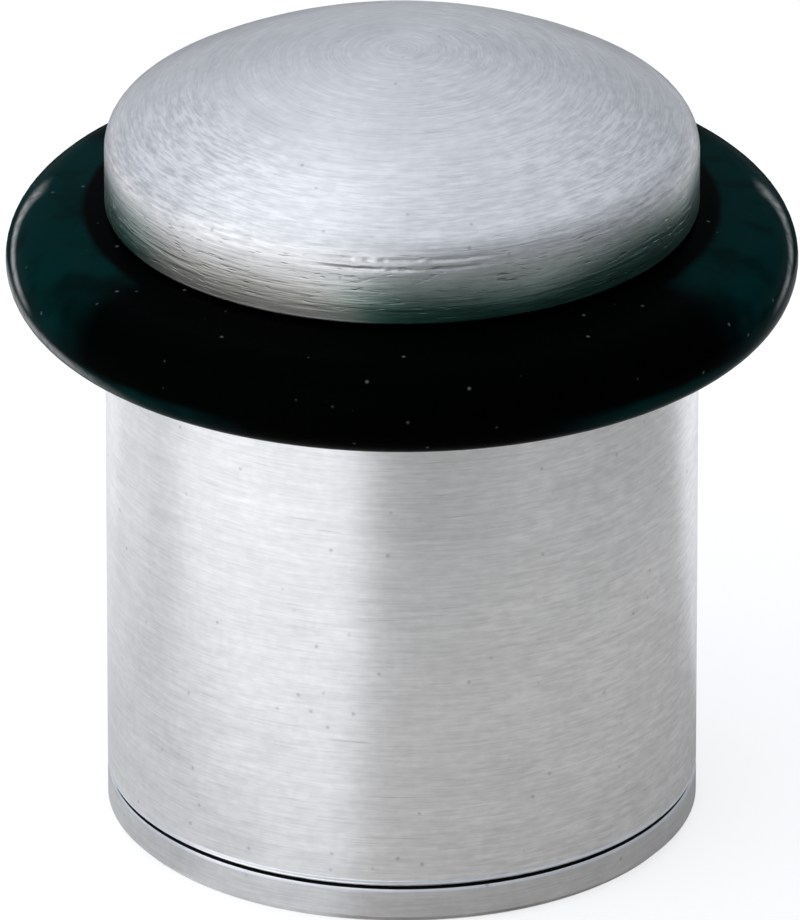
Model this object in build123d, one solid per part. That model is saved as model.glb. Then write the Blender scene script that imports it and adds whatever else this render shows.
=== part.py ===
from build123d import *

import os
from math import cos, radians, sin, tan

# Cylindrical floor door stop: a turned steel post with a domed head, a rubber buffer ring
# held in a groove under the head, and a steel base that is screwed to the floor.
# Millimetres, +Z up, the origin at the middle of the base's underside.

# Post, turned from one bar
BODY_DIAMETER = 30.0
SHANK_LENGTH = 25.1
HEAD_WALL_HEIGHT = 3.9
CROWN_RISE = 4.45
CROWN_EDGE_RADIUS = 1.8
GROOVE_DEPTH = 1.3
GROOVE_EDGE_RADIUS = 0.12
EDGE_BREAK = 0.12

# Buffer ring, moulded with a flat bore, tapered flanks and a round nose, and stretched into the groove
RING_REACH = 5.0
RING_NOSE_RADIUS = 2.45
RING_FLANK_TAPER = 8.0
RING_SIDE_CLEARANCE = 0.05

# Base, turned, with a raised land that leaves the shadow gap and a threaded boss above it
BASE_THICKNESS = 1.9
FOOT_CHAMFER = 0.4
SHADOW_GAP = 0.2
LAND_DIAMETER = 26.0
BOSS_DIAMETER = 16.0
BOSS_LENGTH = 8.0
BOSS_CHAMFER = 0.8
THREAD_RELIEF_WIDTH = 1.5
THREAD_RELIEF_DEPTH = 0.8

# Floor screw hole through the boss
SCREW_HOLE_DIAMETER = 5.2
COUNTERSINK_DIAMETER = 10.4
COUNTERSINK_ANGLE = 90.0

# Socket in the post's foot, which screws down onto the boss
THREAD_CLEARANCE = 0.1
SOCKET_RUNOUT = 2.0
SOCKET_MOUTH_CHAMFER = 0.5
DRILL_POINT_ANGLE = 118.0

# Heights up the axis
body_radius = BODY_DIAMETER / 2
body_foot = BASE_THICKNESS + SHADOW_GAP
groove_foot = body_foot + SHANK_LENGTH

# Ring section and the groove that takes it
groove_radius = body_radius - GROOVE_DEPTH
ring_radius = body_radius + RING_REACH
flank_taper = radians(RING_FLANK_TAPER)
flank_end_radius = ring_radius - RING_NOSE_RADIUS * (1 - sin(flank_taper))
flank_end_half_height = RING_NOSE_RADIUS * cos(flank_taper)
ring_root_half_height = flank_end_half_height + (flank_end_radius - groove_radius) * tan(flank_taper)
groove_half_width = ring_root_half_height + RING_SIDE_CLEARANCE
ring_middle = groove_foot + groove_half_width
groove_top = ring_middle + groove_half_width
crown_foot = groove_top + HEAD_WALL_HEIGHT
crown_top = crown_foot + CROWN_RISE
crown_sphere_radius = (body_radius**2 + CROWN_RISE**2) / (2 * CROWN_RISE)

# Boss and socket
boss_radius = BOSS_DIAMETER / 2
boss_top = body_foot + BOSS_LENGTH
relief_radius = boss_radius - THREAD_RELIEF_DEPTH
relief_top = body_foot + THREAD_RELIEF_WIDTH
socket_radius = boss_radius + THREAD_CLEARANCE
socket_mouth_radius = socket_radius + SOCKET_MOUTH_CHAMFER
socket_shoulder = boss_top + SOCKET_RUNOUT
socket_point = socket_shoulder + socket_radius / tan(radians(DRILL_POINT_ANGLE / 2))
hole_radius = SCREW_HOLE_DIAMETER / 2
countersink_radius = COUNTERSINK_DIAMETER / 2
countersink_depth = (countersink_radius - hole_radius) / tan(radians(COUNTERSINK_ANGLE / 2))


def turned(half_section):
    """Solid turned about Z from a half section drawn as (radius, height)."""
    return revolve(Plane.XZ * half_section, Axis.Z)


def rounded(half_section, corner, radius):
    """Half section with the corner at (radius, height) rounded off."""
    vertex = half_section.vertices().sort_by_distance(corner)[0]
    return half_section.face().fillet_2d(radius, [vertex])


def make_body():
    """Post with its domed head, ring groove and blind socket, in one piece."""
    outline = Polyline(
        (0, socket_point),
        (socket_radius, socket_shoulder),
        (socket_radius, body_foot + SOCKET_MOUTH_CHAMFER),
        (socket_mouth_radius, body_foot),
        (body_radius - EDGE_BREAK, body_foot),
        (body_radius, body_foot + EDGE_BREAK),
        (body_radius, groove_foot),
        (groove_radius, groove_foot),
        (groove_radius, groove_top),
        (body_radius, groove_top),
        (body_radius, crown_foot),
    )
    crown = RadiusArc((body_radius, crown_foot), (0, crown_top), -crown_sphere_radius)
    axis_line = Line((0, crown_top), (0, socket_point))
    half_section = make_face([*outline.edges(), crown, axis_line])
    half_section = rounded(half_section, (body_radius, crown_foot), CROWN_EDGE_RADIUS)
    for groove_edge in (groove_foot, groove_top):
        half_section = rounded(half_section, (body_radius, groove_edge), GROOVE_EDGE_RADIUS)
    return turned(half_section)


def make_buffer_ring():
    """Rubber ring that fills the groove at its root and tapers to a round nose."""
    root_and_flanks = Polyline(
        (flank_end_radius, ring_middle - flank_end_half_height),
        (groove_radius, ring_middle - ring_root_half_height),
        (groove_radius, ring_middle + ring_root_half_height),
        (flank_end_radius, ring_middle + flank_end_half_height),
    )
    nose = ThreePointArc(root_and_flanks @ 1, (ring_radius, ring_middle), root_and_flanks @ 0)
    return turned(make_face([*root_and_flanks.edges(), nose]))


def make_base_disc():
    """Base with its land, its threaded boss and the countersunk floor screw hole."""
    outline = Polyline(
        (hole_radius, 0),
        (body_radius - FOOT_CHAMFER, 0),
        (body_radius, FOOT_CHAMFER),
        (body_radius, BASE_THICKNESS - EDGE_BREAK),
        (body_radius - EDGE_BREAK, BASE_THICKNESS),
        (LAND_DIAMETER / 2, BASE_THICKNESS),
        (LAND_DIAMETER / 2, body_foot),
        (relief_radius, body_foot),
        (relief_radius, relief_top),
        (boss_radius, relief_top + THREAD_RELIEF_DEPTH),
        (boss_radius, boss_top - BOSS_CHAMFER),
        (boss_radius - BOSS_CHAMFER, boss_top),
        (countersink_radius, boss_top),
        (hole_radius, boss_top - countersink_depth),
        close=True,
    )
    return turned(make_face(outline.edges()))


os.makedirs("parts", exist_ok=True)
export_step(make_base_disc(), "parts/base_disc.step")
export_step(make_body(), "parts/body.step")
export_step(make_buffer_ring(), "parts/buffer_ring.step")
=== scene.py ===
import math

import bpy
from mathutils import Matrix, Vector


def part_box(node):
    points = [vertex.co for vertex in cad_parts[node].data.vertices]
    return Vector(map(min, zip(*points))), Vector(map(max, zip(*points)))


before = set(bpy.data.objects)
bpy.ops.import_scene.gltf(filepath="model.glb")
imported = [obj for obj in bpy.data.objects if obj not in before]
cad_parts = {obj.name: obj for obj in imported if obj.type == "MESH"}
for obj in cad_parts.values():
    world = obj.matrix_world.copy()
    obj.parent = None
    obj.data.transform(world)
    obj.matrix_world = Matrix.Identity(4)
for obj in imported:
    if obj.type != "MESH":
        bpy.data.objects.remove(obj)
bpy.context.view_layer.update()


# Base disc
# A steel disc as wide as the post, turned on a lathe and left with a satin finish. It is
# screwed to the floor, and its raised land holds the post a hair's breadth above its rim.

# The pieces' sizes are in millimetres. Those of the floor, the lights and the camera are in metres.
MILLIMETRE = 0.001
SHADOW_GAP = 0.2
EDGE_BREAK = 0.12
post_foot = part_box("body")[0].z / MILLIMETRE
base_rim_height = post_foot - SHADOW_GAP
base_rim_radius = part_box("base_disc")[1].x / MILLIMETRE - EDGE_BREAK

# The steel's finish, and the marks that both turned pieces have
# The base's steel is darker than the post's: painted shade, for the shade where the disc meets the floor.
SHADED_BASE_STEEL_COLOUR = (0.73, 0.73, 0.74)
STEEL_ROUGHNESS = 0.33
ROUGHNESS_CHANGE = 0.03
ROUGHNESS_LEVELS = (0.3, 0.7)
STEEL_ANISOTROPY = 0.55
ACROSS_THE_MARKS = 0.25
TONE_LEVELS = (0.25, 0.75)
MARK_RAGGEDNESS = 0.6
FINE_MARKS = {"length": 2.2, "width": 0.10, "shift": 0.0, "detail": 3.0}
FINE_MARK_TONE = 0.075
FINE_MARK_DEPTH = 0.0012
BROAD_MARKS = {"length": 9.0, "width": 0.6, "shift": 40.0, "detail": 3.0}
BROAD_MARK_TONE = 0.035
SCRATCHES = {"length": 4.0, "width": 0.11, "shift": 80.0, "detail": 3.0}
SCRATCH_LEVELS = (0.64, 0.74)
SCRATCH_TONE = 0.80
PATCH_DETAIL = 2.0
CLOUD_SIZE = 3.0
CLOUD_TONE = 0.03
MOTTLE_SIZE = 0.5
MOTTLE_TONE = 0.035
PIT_SPACING = 1.5
PIT_RADIUS = 0.19
PIT_TONE = 0.7

# The disc's top edge, brightened as a painted highlight, and painted shade on its rim in the gap behind it
NO_TINT = (1.0, 1.0, 1.0)
BASE_EDGE_HIGHLIGHT_TINT = (1.36, 1.36, 1.36)
RECESS_SHADE_TINT = (0.15, 0.15, 0.15)
RECESS_SHADE_FADE = 0.06


class Nodes:
    """The nodes of a material or of the world, with short calls that add one and feed its inputs."""

    def __init__(self, owner, shader_name):
        owner.use_nodes = True
        self.owner = owner
        self.tree = owner.node_tree
        self.shader = self.tree.nodes[shader_name]

    def feed(self, socket, value):
        """Joins a socket to another one, or sets its own value."""
        if isinstance(value, bpy.types.NodeSocket):
            self.tree.links.new(value, socket)
        else:
            socket.default_value = value

    def fill(self, node, inputs):
        """Feeds a node's inputs by their names, with _ for a space."""
        for name, value in inputs.items():
            self.feed(node.inputs[name.replace("_", " ")], value)

    def add(self, kind, settings=None, **inputs):
        node = self.tree.nodes.new(kind)
        for name, value in (settings or {}).items():
            setattr(node, name, value)
        self.fill(node, inputs)
        return node

    def surface(self, **inputs):
        """Feeds the shader's own inputs."""
        self.fill(self.shader, inputs)

    def pair(self, kind, operation, first, second):
        """The outputs of a node that works on two inputs."""
        node = self.add(kind, {"operation": operation})
        self.feed(node.inputs[0], first)
        self.feed(node.inputs[1], second)
        return node.outputs

    def math(self, operation, first, second=0.0):
        return self.pair("ShaderNodeMath", operation, first, second)["Value"]

    def vector_math(self, operation, first, second):
        return self.pair("ShaderNodeVectorMath", operation, first, second)

    def product(self, first, *others):
        for other in others:
            first = self.math("MULTIPLY", first, other)
        return first

    def spread(self, value, low, high, new_low, new_high):
        """Eases from new_low to new_high as the value goes from low to high."""
        node = self.add("ShaderNodeMapRange", {"interpolation_type": "SMOOTHSTEP"})
        for socket, number in zip(node.inputs, (value, low, high, new_low, new_high)):
            self.feed(socket, number)
        return node.outputs["Result"]

    def rise(self, value, low, high):
        """0 below low and 1 above high."""
        return self.spread(value, low, high, 0.0, 1.0)

    def fall(self, value, low, high):
        """1 below low and 0 above high."""
        return self.spread(value, low, high, 1.0, 0.0)

    def tone(self, texture, amount):
        """A brightening and darkening about 1, from a texture that is about 0.5 on average."""
        return self.spread(texture, *TONE_LEVELS, 1.0 - amount, 1.0 + amount)

    def scaled(self, vector, factor):
        node = self.add("ShaderNodeVectorMath", {"operation": "SCALE"}, Vector=vector, Scale=factor)
        return node.outputs["Vector"]

    def blended(self, amount, colour, other_colour):
        """The first colour where the amount is 0, and the other one where it is 1."""
        node = self.add("ShaderNodeMix", {"data_type": "VECTOR"})
        sockets = {socket.identifier: socket for socket in (*node.inputs, *node.outputs)}
        self.feed(sockets["Factor_Float"], amount)
        self.feed(sockets["A_Vector"], colour)
        self.feed(sockets["B_Vector"], other_colour)
        return sockets["Result_Vector"]


def material_nodes(name):
    return Nodes(bpy.data.materials.new(name), "Principled BSDF")


class LathePoint:
    """Where a point lies on a turned piece, in millimetres. Across grows across the turning marks."""

    def __init__(self, nodes):
        self.nodes = nodes
        self.place = nodes.scaled(nodes.add("ShaderNodeTexCoord").outputs["Object"], 1.0 / MILLIMETRE)
        self.x, self.y, self.z = nodes.add("ShaderNodeSeparateXYZ", Vector=self.place).outputs
        squares = nodes.math("ADD", nodes.product(self.x, self.x), nodes.product(self.y, self.y))
        self.radius = nodes.math("SQRT", squares)
        self.across = nodes.math("SUBTRACT", self.z, self.radius)

    def towards(self, direction):
        """1 where the point faces a level direction, 0 square to it and -1 on the far side."""
        along = self.nodes.vector_math("DOT_PRODUCT", self.place, direction)
        return self.nodes.math("DIVIDE", along["Value"], self.radius)


def turning_marks(point, length, width, shift, detail):
    """Streaks that run round the axis, on the sides and on the end faces alike."""
    nodes = point.nodes
    marks_at = nodes.add(
        "ShaderNodeCombineXYZ",
        X=nodes.math("DIVIDE", point.x, length),
        Y=nodes.math("DIVIDE", point.y, length),
        Z=nodes.math("ADD", nodes.math("DIVIDE", point.across, width), shift),
    )
    noise = nodes.add(
        "ShaderNodeTexNoise", Vector=marks_at.outputs[0], Scale=1.0, Detail=detail, Roughness=MARK_RAGGEDNESS
    )
    return noise.outputs["Fac"]


def patches(point, size):
    """Soft uneven patches with no direction."""
    noise = point.nodes.add("ShaderNodeTexNoise", Vector=point.place, Scale=1.0 / size, Detail=PATCH_DETAIL)
    return noise.outputs["Fac"]


def dots(point, spacing, radius):
    """Scattered round spots of mixed size, 1 in the middle of a spot and 0 outside."""
    nodes = point.nodes
    cells = nodes.add("ShaderNodeTexVoronoi", Vector=point.place, Scale=1.0 / spacing)
    return nodes.fall(nodes.product(cells.outputs["Distance"], spacing), 0.0, radius)


def turned_steel(name, colour, own_marks):
    """Satin stainless steel: fine marks round the axis, thin scratches, faint clouds and tiny pits.

    own_marks gives the tint, the height and the roughness of the marks that only one piece has.
    """
    nodes = material_nodes(name)
    point = LathePoint(nodes)
    fine = turning_marks(point, **FINE_MARKS)
    tone = nodes.product(
        nodes.tone(fine, FINE_MARK_TONE),
        nodes.tone(turning_marks(point, **BROAD_MARKS), BROAD_MARK_TONE),
        nodes.tone(patches(point, CLOUD_SIZE), CLOUD_TONE),
        nodes.tone(patches(point, MOTTLE_SIZE), MOTTLE_TONE),
        nodes.spread(turning_marks(point, **SCRATCHES), *SCRATCH_LEVELS, 1.0, SCRATCH_TONE),
        nodes.spread(dots(point, PIT_SPACING, PIT_RADIUS), 0.0, 1.0, 1.0, PIT_TONE),
    )
    tint, own_height, own_roughness = own_marks(point)
    marked_colour = nodes.vector_math("MULTIPLY", nodes.scaled(colour, tone), tint)
    height = nodes.math("ADD", nodes.product(fine, FINE_MARK_DEPTH), own_height)
    bump = nodes.add("ShaderNodeBump", Distance=MILLIMETRE, Height=height)
    smooth = STEEL_ROUGHNESS - ROUGHNESS_CHANGE
    rough = STEEL_ROUGHNESS + ROUGHNESS_CHANGE
    roughness = nodes.math("ADD", nodes.spread(fine, *ROUGHNESS_LEVELS, smooth, rough), own_roughness)
    round_the_axis = nodes.add("ShaderNodeTangent", {"direction_type": "RADIAL", "axis": "Z"})
    nodes.surface(
        Base_Color=marked_colour["Vector"],
        Metallic=1.0,
        Roughness=roughness,
        Anisotropic=STEEL_ANISOTROPY,
        Anisotropic_Rotation=ACROSS_THE_MARKS,
        Tangent=round_the_axis.outputs["Tangent"],
        Normal=bump.outputs["Normal"],
    )
    return nodes.owner


def finish_node(name, material):
    """Gives a solid of the frame its finish in place of the plain one."""
    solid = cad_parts[name]
    solid.data.materials.clear()
    solid.data.materials.append(material)


def base_marks(point):
    """The top edge of the disc, brightened as a painted highlight, and painted shade on its rim in the gap
    behind it.
    """
    nodes = point.nodes
    edge = nodes.rise(point.z, base_rim_height - EDGE_BREAK, base_rim_height)
    recess_shade = nodes.fall(point.radius, base_rim_radius - RECESS_SHADE_FADE, base_rim_radius)
    # Painted highlight: the top edge's colour is brightened. Painted shade: the rim under the post's foot is
    # darkened.
    tint = nodes.blended(edge, NO_TINT, BASE_EDGE_HIGHLIGHT_TINT)
    tint = nodes.blended(nodes.product(recess_shade, edge), tint, RECESS_SHADE_TINT)
    return tint, 0.0, 0.0


finish_node("base_disc", turned_steel("turned_steel_base", SHADED_BASE_STEEL_COLOUR, base_marks))


# Post
# One stainless bar, turned to a plain shank and a shallow domed head, with a groove for the ring
# between them, and screwed down onto the base. The tool has left ridges on the head's rolled edge.
# The wall below it is darkened towards the ring with painted shade for the black ring's reflection and
# shade, lighter at the front left where the light falls.
POST_STEEL_COLOUR = (0.86, 0.86, 0.865)
FRONT = (0.0, -1.0, 0.0)
RIGHT = (1.0, 0.0, 0.0)
ring_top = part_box("buffer_ring")[1].z / MILLIMETRE

# Marks of the tool on the rolled edge, at heights above the ring
RIDGES = {"length": 4.0, "width": 0.22, "shift": 120.0, "detail": 2.0}
RIDGE_BAND = (0.12, 1.32, 3.72, 4.92)
RIDGE_TONE = 0.17
RIDGE_DEPTH = 0.040
DASHES = {"length": 0.9, "width": 0.15, "shift": 160.0, "detail": 1.0}
DASH_BAND = (0.12, 0.92, 3.12, 5.12)
DASH_LEVELS = (0.60, 0.80)
DASH_TONE = 0.22
DASH_DEPTH = 0.024
TOOL_LINE_HEIGHTS = (3.55, 3.09)
TOOL_LINE_FRONT = (0.94, 0.985)
TOOL_LINE_HALF_WIDTH = 0.19
TOOL_LINE_DEPTH = 0.075
TOOL_LINE_BREAK_SIZE = 1.5
TOOL_LINE_BREAK_LEVELS = (0.3, 0.5)
TOOL_LINE_FAINTEST = 0.2
ROLL_FOOT = (1.92, 3.12)
ROLL_ROUGHNESS = 0.12

# Strokes of the brush, strongest at the two front sides of the dome and at the right of the shank
STROKES = {"length": 1.1, "width": 0.20, "shift": 200.0, "detail": 2.0}
STROKE_TONE = 0.19
DOME_STROKE_BAND = (2.72, 3.72, 5.52, 7.52)
DOME_STROKE_SIDES = (0.35, 0.85)
DOME_STROKE_SHARES = (0.5, 1.0)
DOME_STROKE_FRONT = (-0.25, 0.35)
DOME_STROKES_BEHIND = 0.3
SHANK_STROKE_SIDES = (-0.2, 0.6)
SHANK_STROKE_SHARES = (0.12, 0.45)

# Painted shade on the head's wall, at heights above the ring: dense and green at its foot, lighter at the
# front left, and left off the foot of the wall there
PAINTED_SHADE_TINT = (0.35, 0.50, 0.45)
PAINTED_SHADE_TOP = (0.92, 3.52)
DEEP_SHADE_TINT = (0.10, 0.26, 0.21)
DEEP_SHADE_TOP = (0.22, 1.52)
LIT_SIDE_TINT = (0.54, 0.53, 0.49)
LIT_SIDE = (-0.56, -0.83, 0.0)
LIT_SIDE_SPREAD = (0.85, 0.98)
UNSHADED_FOOT_TOP = (0.14, 0.27)
GROOVE_TOP = (-1.28, -0.28)

# Bright lip round the foot, at heights above it: a bump that tilts the surface up, and a painted highlight
# that brightens its colour
FOOT_LIP = (0.12, 0.35)
FOOT_LIP_HEIGHT = 0.20
FOOT_LIP_HIGHLIGHT_TONE = 1.15


def height_band(nodes, height, foot, full, end, top):
    """1 between two heights, fading to 0 below and above them."""
    return nodes.product(nodes.rise(height, foot, full), nodes.fall(height, end, top))


def tool_lines(point, above_ring):
    """Two broken grooves across the front of the roll."""
    nodes = point.nodes
    lines = 0.0
    for line_height in TOOL_LINE_HEIGHTS:
        off_the_line = nodes.math("ABSOLUTE", nodes.math("SUBTRACT", above_ring, line_height))
        lines = nodes.math("ADD", lines, nodes.fall(off_the_line, 0.0, TOOL_LINE_HALF_WIDTH))
    breaks = patches(point, TOOL_LINE_BREAK_SIZE)
    breaks = nodes.spread(breaks, *TOOL_LINE_BREAK_LEVELS, TOOL_LINE_FAINTEST, 1.0)
    return nodes.product(lines, breaks, nodes.rise(point.towards(FRONT), *TOOL_LINE_FRONT))


def stroke_tone(point, above_ring):
    """The brightening and darkening by the brush, about 1."""
    nodes = point.nodes
    rightwards = point.towards(RIGHT)
    dome_share = nodes.product(
        nodes.spread(nodes.math("ABSOLUTE", rightwards), *DOME_STROKE_SIDES, *DOME_STROKE_SHARES),
        nodes.spread(point.towards(FRONT), *DOME_STROKE_FRONT, DOME_STROKES_BEHIND, 1.0),
    )
    shank_share = nodes.spread(rightwards, *SHANK_STROKE_SIDES, *SHANK_STROKE_SHARES)
    on_the_dome = height_band(nodes, above_ring, *DOME_STROKE_BAND)
    share = nodes.spread(on_the_dome, 0.0, 1.0, shank_share, dome_share)
    strokes = nodes.tone(turning_marks(point, **STROKES), STROKE_TONE)
    return nodes.math("ADD", 1.0, nodes.product(nodes.math("SUBTRACT", strokes, 1.0), share))


def shaded_wall_tint(point, above_ring):
    """The tint of the painted shade: dense and green at its foot, and paler at the front left, where the
    light falls, with none on the foot of the wall there.
    """
    nodes = point.nodes
    lit_front_left = nodes.rise(point.towards(LIT_SIDE), *LIT_SIDE_SPREAD)
    unshaded_foot = nodes.product(lit_front_left, nodes.fall(above_ring, *UNSHADED_FOOT_TOP))
    shade_amount = nodes.product(
        nodes.fall(above_ring, *PAINTED_SHADE_TOP),
        nodes.math("SUBTRACT", 1.0, unshaded_foot),
        nodes.rise(above_ring, *GROOVE_TOP),
    )
    colour = nodes.blended(nodes.fall(above_ring, *DEEP_SHADE_TOP), PAINTED_SHADE_TINT, DEEP_SHADE_TINT)
    colour = nodes.blended(lit_front_left, colour, LIT_SIDE_TINT)
    return nodes.blended(shade_amount, NO_TINT, colour)


def post_marks(point):
    """The painted shade and the tool's marks on the head, the brush's strokes, and the lip round the foot,
    whose colour is brightened as a painted highlight.
    """
    nodes = point.nodes
    above_ring = nodes.math("SUBTRACT", point.z, ring_top)
    on_the_roll = height_band(nodes, above_ring, *RIDGE_BAND)
    ridges = nodes.product(turning_marks(point, **RIDGES), on_the_roll)
    dashes = nodes.rise(turning_marks(point, **DASHES), *DASH_LEVELS)
    dashes = nodes.product(dashes, height_band(nodes, above_ring, *DASH_BAND))
    foot_lip = nodes.fall(nodes.math("SUBTRACT", point.z, post_foot), *FOOT_LIP)
    tone = nodes.product(
        nodes.spread(ridges, *TONE_LEVELS, 1.0, 1.0 - RIDGE_TONE),
        nodes.spread(dashes, 0.0, 1.0, 1.0, 1.0 - DASH_TONE),
        # Painted highlight: the lip's colour is brightened.
        nodes.spread(foot_lip, 0.0, 1.0, 1.0, FOOT_LIP_HIGHLIGHT_TONE),
        stroke_tone(point, above_ring),
    )
    # The colour takes the painted shade here, which stands for the black ring's reflection and shade on the
    # head's wall.
    tint = nodes.scaled(shaded_wall_tint(point, above_ring), tone)
    height = nodes.math("ADD", nodes.product(foot_lip, FOOT_LIP_HEIGHT), nodes.product(ridges, RIDGE_DEPTH))
    height = nodes.math("SUBTRACT", height, nodes.product(dashes, DASH_DEPTH))
    height = nodes.math("SUBTRACT", height, nodes.product(tool_lines(point, above_ring), TOOL_LINE_DEPTH))
    roughness = nodes.product(on_the_roll, nodes.spread(above_ring, *ROLL_FOOT, 0.0, ROLL_ROUGHNESS))
    return tint, height, roughness


finish_node("body", turned_steel("turned_steel_post", POST_STEEL_COLOUR, post_marks))


# Buffer ring
# Black rubber, moulded with tapered flanks and a round nose, and stretched into the groove
# under the head. It is what the door meets. A green painted reflection and pale painted highlights lie on
# its sides.
RUBBER_COLOUR = (0.0004, 0.0007, 0.0007)
RUBBER_ROUGHNESS = 0.26
RUBBER_SPECULAR_LEVEL = 0.003
LEFT = (-1.0, 0.0, 0.0)
ring_lowest, ring_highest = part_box("buffer_ring")
ring_middle = (ring_lowest.z + ring_highest.z) / 2 / MILLIMETRE
ring_radius = ring_highest.x / MILLIMETRE

# Green painted reflection on the sides, its width measured in from the rim, and its top under the ring from
# the middle
PAINTED_REFLECTION_COLOUR = (0.0004, 0.0200, 0.0195)
REFLECTION_SIDES = (0.78, 0.93)
REFLECTION_WIDTH = (3.6, 4.15)
UNDERSIDE_REFLECTION_SIDES = (0.35, 0.65)
UNDERSIDE_REFLECTION_TOP = (-1.065, -0.365)
REFLECTION_PATCH_SIZE = 2.5
REFLECTION_TONE = 0.5

# Painted highlights, at heights above the ring's middle, and dust
PAINTED_HIGHLIGHT_COLOUR = (0.40, 0.405, 0.39)
SHOULDER_HIGHLIGHT = {
    "height": 1.585,
    "slant": 4.1,
    "half_width": 0.36,
    "sides": (0.925, 0.975),
    "back": (-0.30, -0.05),
}
RIM_HIGHLIGHT = {
    "height": 0.185,
    "slant": 2.4,
    "half_width": 0.6,
    "sides": (0.65, 0.90),
    "back": (-0.05, 0.15),
}
HIGHLIGHT_WIDTH = (1.4, 2.0)
HIGHLIGHT_PATCH_SIZE = 0.6
HIGHLIGHT_LEVELS = (0.3, 0.6)
HIGHLIGHT_FAINTEST = 0.5
DUST_COLOUR = (0.12, 0.12, 0.12)
DUST_SPACING = 1.4
DUST_RADIUS = 0.14


def slanted_highlight(point, sideways, height, slant, half_width, sides, back):
    """A pale painted highlight along a line that slants down over the nose as it comes round to the front.
    """
    nodes = point.nodes
    forward = point.towards(FRONT)
    line = nodes.math("SUBTRACT", ring_middle + height, nodes.product(forward, slant))
    off_the_line = nodes.math("ABSOLUTE", nodes.math("SUBTRACT", point.z, line))
    return nodes.product(
        nodes.fall(off_the_line, 0.0, half_width),
        nodes.rise(forward, *back),
        nodes.rise(sideways, *sides),
    )


def black_rubber():
    """Moulded black rubber, a little glossy, with a green painted reflection and pale painted highlights at
    its sides, and a few specks of dust.
    """
    nodes = material_nodes("black_rubber")
    point = LathePoint(nodes)
    leftwards = point.towards(LEFT)
    sideways = nodes.math("ABSOLUTE", leftwards)
    in_from_rim = nodes.math("SUBTRACT", ring_radius, point.radius)
    above_middle = nodes.math("SUBTRACT", point.z, ring_middle)
    # Green painted reflection: on the upper side near the rim at the left and right, and on the underside
    # towards the sides.
    above = nodes.product(nodes.rise(sideways, *REFLECTION_SIDES), nodes.fall(in_from_rim, *REFLECTION_WIDTH))
    below = nodes.product(nodes.fall(above_middle, *UNDERSIDE_REFLECTION_TOP), nodes.rise(sideways, *UNDERSIDE_REFLECTION_SIDES))
    painted_reflection = nodes.math("MAXIMUM", above, below)
    painted_reflection = nodes.product(painted_reflection, nodes.tone(patches(point, REFLECTION_PATCH_SIZE), REFLECTION_TONE))
    # Pale painted highlights along the nose at the sides.
    painted_highlights = nodes.math(
        "MAXIMUM",
        slanted_highlight(point, sideways, **SHOULDER_HIGHLIGHT),
        slanted_highlight(point, leftwards, **RIM_HIGHLIGHT),
    )
    painted_highlights = nodes.product(
        painted_highlights,
        nodes.fall(in_from_rim, *HIGHLIGHT_WIDTH),
        nodes.spread(patches(point, HIGHLIGHT_PATCH_SIZE), *HIGHLIGHT_LEVELS, HIGHLIGHT_FAINTEST, 1.0),
    )
    colour = nodes.blended(painted_reflection, RUBBER_COLOUR, PAINTED_REFLECTION_COLOUR)
    colour = nodes.blended(painted_highlights, colour, PAINTED_HIGHLIGHT_COLOUR)
    colour = nodes.blended(dots(point, DUST_SPACING, DUST_RADIUS), colour, DUST_COLOUR)
    nodes.surface(Base_Color=colour, Roughness=RUBBER_ROUGHNESS, Specular_IOR_Level=RUBBER_SPECULAR_LEVEL)
    return nodes.owner


finish_node("buffer_ring", black_rubber())


# Floor
# A plain white sweep of matt paper, far wider than the view. What the camera sees of it is lifted
# to white, and so is what reflections show, less near the stop as painted shade round it. The stop's shadow
# stays on it.
WHITE = (1.0, 1.0, 1.0, 1.0)
FLOOR_COLOUR = (0.50, 0.50, 0.50, 1.0)
FLOOR_RADIUS = 3.0
FLOOR_EDGES = 96
FLOOR_LIFT = 0.70
NEAR_FLOOR = (0.020, 0.068)
NEAR_FLOOR_SHADED_LIFT = 0.57


def matt_paint(name, colour):
    """The nodes of a paint with no gloss."""
    paint = material_nodes(name)
    paint.surface(Base_Color=colour, Roughness=1.0, Specular_IOR_Level=0.0)
    return paint


bpy.ops.mesh.primitive_circle_add(vertices=FLOOR_EDGES, radius=FLOOR_RADIUS, fill_type="NGON")
floor = bpy.context.active_object
floor.name = "floor"
paper = matt_paint("floor_paper", FLOOR_COLOUR)
ray = paper.add("ShaderNodeLightPath").outputs
floor_place = paper.add("ShaderNodeTexCoord").outputs["Object"]
from_axis = paper.add("ShaderNodeVectorMath", {"operation": "LENGTH"}, Vector=floor_place).outputs["Value"]
# Reflections of the floor near the stop are lifted less: painted shade round the stop.
painted_shade_lift = paper.spread(from_axis, *NEAR_FLOOR, NEAR_FLOOR_SHADED_LIFT, 1.0)
seen = paper.math("MAXIMUM", ray["Is Camera Ray"], paper.product(ray["Is Glossy Ray"], painted_shade_lift))
seen = paper.math("MAXIMUM", seen, ray["Is Transmission Ray"])
paper.surface(Emission_Color=WHITE, Emission_Strength=paper.product(seen, FLOOR_LIFT))
floor.data.materials.append(paper.owner)


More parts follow.
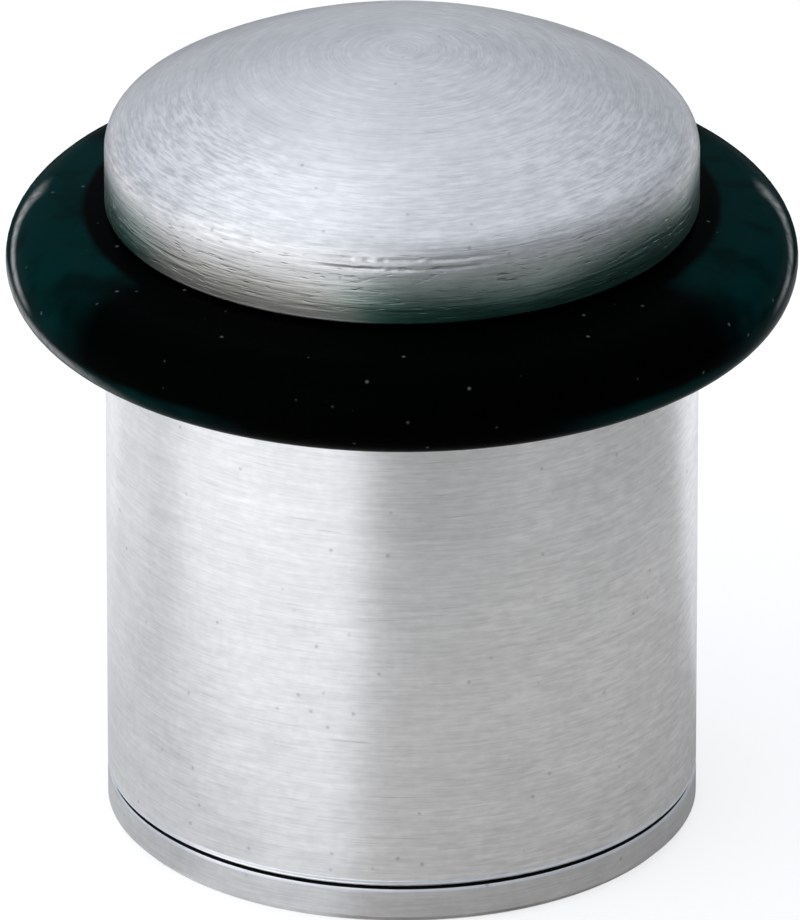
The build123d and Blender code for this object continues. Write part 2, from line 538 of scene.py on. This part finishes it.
# Light
# A large soft box at the left and a small one high up, in a pale room that is brightest overhead.
# Four cards on the floor show only in reflections: a dark one and a soft-edged grey one for the
# shaded side, a white one at the left, and one behind that darkens the far edge of the dome.
BOX_DISTANCE = 0.8
LEFT_BOX = {"azimuth": -46.0, "elevation": 23.0, "width": 1.30, "height": 0.62, "power": 2.3}
TOP_BOX = {"azimuth": -113.0, "elevation": 67.0, "width": 0.50, "height": 0.50, "power": 0.28}
DARK_CARD_COLOUR = (0.004, 0.060, 0.045, 1.0)
DARK_CARD_HEIGHT = 0.0006
DARK_CARD_NEAR = 0.085
DARK_CARD_LEFT = -0.030
DARK_CARD_FAR = 0.60
DARK_CARD_BACK = 0.10
GREY_CARD_COLOUR = (0.82, 0.78, 0.72, 1.0)
GREY_CARD_HEIGHT = 0.0001
GREY_CARD_FAR = 0.30
GREY_CARD_START = -12.5
GREY_CARD_END = 123.0
GREY_CARD_SOFTNESS = 7.0
WHITE_CARD_COLOUR = (0.92, 0.90, 0.86, 1.0)
WHITE_CARD_HEIGHT = 0.0001
WHITE_CARD_NEAR = 0.012
WHITE_CARD_FRONT = 0.018
WHITE_CARD_FAR = 0.12
WHITE_CARD_SLANT = 0.30
WHITE_CARD_BACK = 0.78
BACK_CARD_COLOUR = (0.12, 0.12, 0.12, 1.0)
BACK_CARD_HEIGHT = 0.0002
BACK_CARD_HALF_WIDTH = 0.12
BACK_CARD_NEAR = 0.07
BACK_CARD_FAR = 0.50
ROOM_COLOUR = (0.86, 0.91, 1.0, 1.0)
ROOM_BRIGHT_SIDE = (-0.30, 0.22, 0.93)
ROOM_FADE = (0.10, 0.95)
ROOM_DIM = 0.37
ROOM_BRIGHT = 0.79


def soft_box(name, azimuth, elevation, width, height, power):
    """A rectangular lamp turned to the stop, seen in reflections but not by the camera."""
    lamp = bpy.data.lights.new(name, "AREA")
    lamp.shape = "RECTANGLE"
    lamp.size = width
    lamp.size_y = height
    lamp.energy = power
    box = bpy.data.objects.new(name, lamp)
    turn = math.radians(azimuth)
    rise = math.radians(elevation)
    level = math.cos(rise)
    towards_box = Vector((math.sin(turn) * level, -math.cos(turn) * level, math.sin(rise)))
    box.location = BOX_DISTANCE * towards_box
    box.rotation_euler = (-towards_box).to_track_quat("-Z", "Y").to_euler()
    box.visible_camera = False
    bpy.context.scene.collection.objects.link(box)


def floor_card(name, colour, corners, height):
    """A flat card on the floor, seen only in reflections. Gives the nodes of its paint."""
    mesh = bpy.data.meshes.new(name)
    mesh.from_pydata([(x, y, height) for x, y in corners], [], [tuple(range(len(corners)))])
    paint = matt_paint(name + "_paint", colour)
    mesh.materials.append(paint.owner)
    card = bpy.data.objects.new(name, mesh)
    card.visible_camera = False
    card.visible_diffuse = False
    card.visible_shadow = False
    bpy.context.scene.collection.objects.link(card)
    return paint


def rectangle(left, right, front, back):
    return [(left, front), (right, front), (right, back), (left, back)]


soft_box("left_soft_box", **LEFT_BOX)
soft_box("top_soft_box", **TOP_BOX)

dark_corners = [
    (DARK_CARD_LEFT, -DARK_CARD_FAR),
    (DARK_CARD_FAR, -DARK_CARD_FAR),
    (DARK_CARD_FAR, DARK_CARD_BACK),
    (DARK_CARD_NEAR, DARK_CARD_BACK),
    (DARK_CARD_NEAR, -DARK_CARD_NEAR),
    (DARK_CARD_LEFT, -DARK_CARD_NEAR),
]
floor_card("dark_card", DARK_CARD_COLOUR, dark_corners, DARK_CARD_HEIGHT)

# The grey card is a fan about the axis, and its two edges fade out.
grey_corners = rectangle(-GREY_CARD_FAR, GREY_CARD_FAR, -GREY_CARD_FAR, GREY_CARD_FAR)
grey_paint = floor_card("grey_card", GREY_CARD_COLOUR, grey_corners, GREY_CARD_HEIGHT)
grey_place = grey_paint.add("ShaderNodeTexCoord").outputs["Object"]
grey_axes = grey_paint.add("ShaderNodeSeparateXYZ", Vector=grey_place).outputs
grey_turn = grey_paint.math("ARCTAN2", grey_axes["X"], grey_paint.product(grey_axes["Y"], -1.0))
grey_turn = grey_paint.math("DEGREES", grey_turn)
grey_fan = grey_paint.product(
    grey_paint.rise(grey_turn, GREY_CARD_START - GREY_CARD_SOFTNESS, GREY_CARD_START + GREY_CARD_SOFTNESS),
    grey_paint.fall(grey_turn, GREY_CARD_END - GREY_CARD_SOFTNESS, GREY_CARD_END + GREY_CARD_SOFTNESS),
)
grey_paint.surface(Alpha=grey_fan)

white_corners = [
    (-WHITE_CARD_NEAR, WHITE_CARD_BACK * WHITE_CARD_NEAR),
    (-WHITE_CARD_FAR, WHITE_CARD_BACK * WHITE_CARD_FAR),
    (-WHITE_CARD_FAR, WHITE_CARD_SLANT * (WHITE_CARD_FAR - WHITE_CARD_NEAR) - WHITE_CARD_FRONT),
    (-WHITE_CARD_NEAR, -WHITE_CARD_FRONT),
]
floor_card("white_card", WHITE_CARD_COLOUR, white_corners, WHITE_CARD_HEIGHT)

back_corners = rectangle(-BACK_CARD_HALF_WIDTH, BACK_CARD_HALF_WIDTH, BACK_CARD_NEAR, BACK_CARD_FAR)
floor_card("back_card", BACK_CARD_COLOUR, back_corners, BACK_CARD_HEIGHT)

room = Nodes(bpy.data.worlds.new("room"), "Background")
room_direction = room.add("ShaderNodeTexCoord").outputs["Generated"]
towards_bright = room.vector_math("DOT_PRODUCT", room_direction, ROOM_BRIGHT_SIDE)["Value"]
room.surface(Color=ROOM_COLOUR, Strength=room.spread(towards_bright, *ROOM_FADE, ROOM_DIM, ROOM_BRIGHT))
bpy.context.scene.world = room.owner
bpy.context.scene.view_settings.view_transform = "Standard"


# Camera
# It looks down on the front of the stop through a long lens, from the photograph's angle. The
# view's height is the longer side of the picture, at the point that the camera is aimed at.
CAMERA_ELEVATION = math.radians(25.39)
CAMERA_DISTANCE = 1.097
AIM = Vector((-0.0001, 0.0, 0.0188))
VIEW_HEIGHT = 0.04662
SENSOR_WIDTH = 36.0
CLIP_START = 0.01
CLIP_END = 20.0
lens = bpy.data.cameras.new("camera")
lens.sensor_width = SENSOR_WIDTH
lens.lens = SENSOR_WIDTH * CAMERA_DISTANCE / VIEW_HEIGHT
lens.clip_start = CLIP_START
lens.clip_end = CLIP_END
camera = bpy.data.objects.new("camera", lens)
towards_camera = Vector((0.0, -math.cos(CAMERA_ELEVATION), math.sin(CAMERA_ELEVATION)))
camera.location = AIM + CAMERA_DISTANCE * towards_camera
camera.rotation_euler = (math.pi / 2 - CAMERA_ELEVATION, 0.0, 0.0)
bpy.context.scene.collection.objects.link(camera)
bpy.context.scene.camera = camera
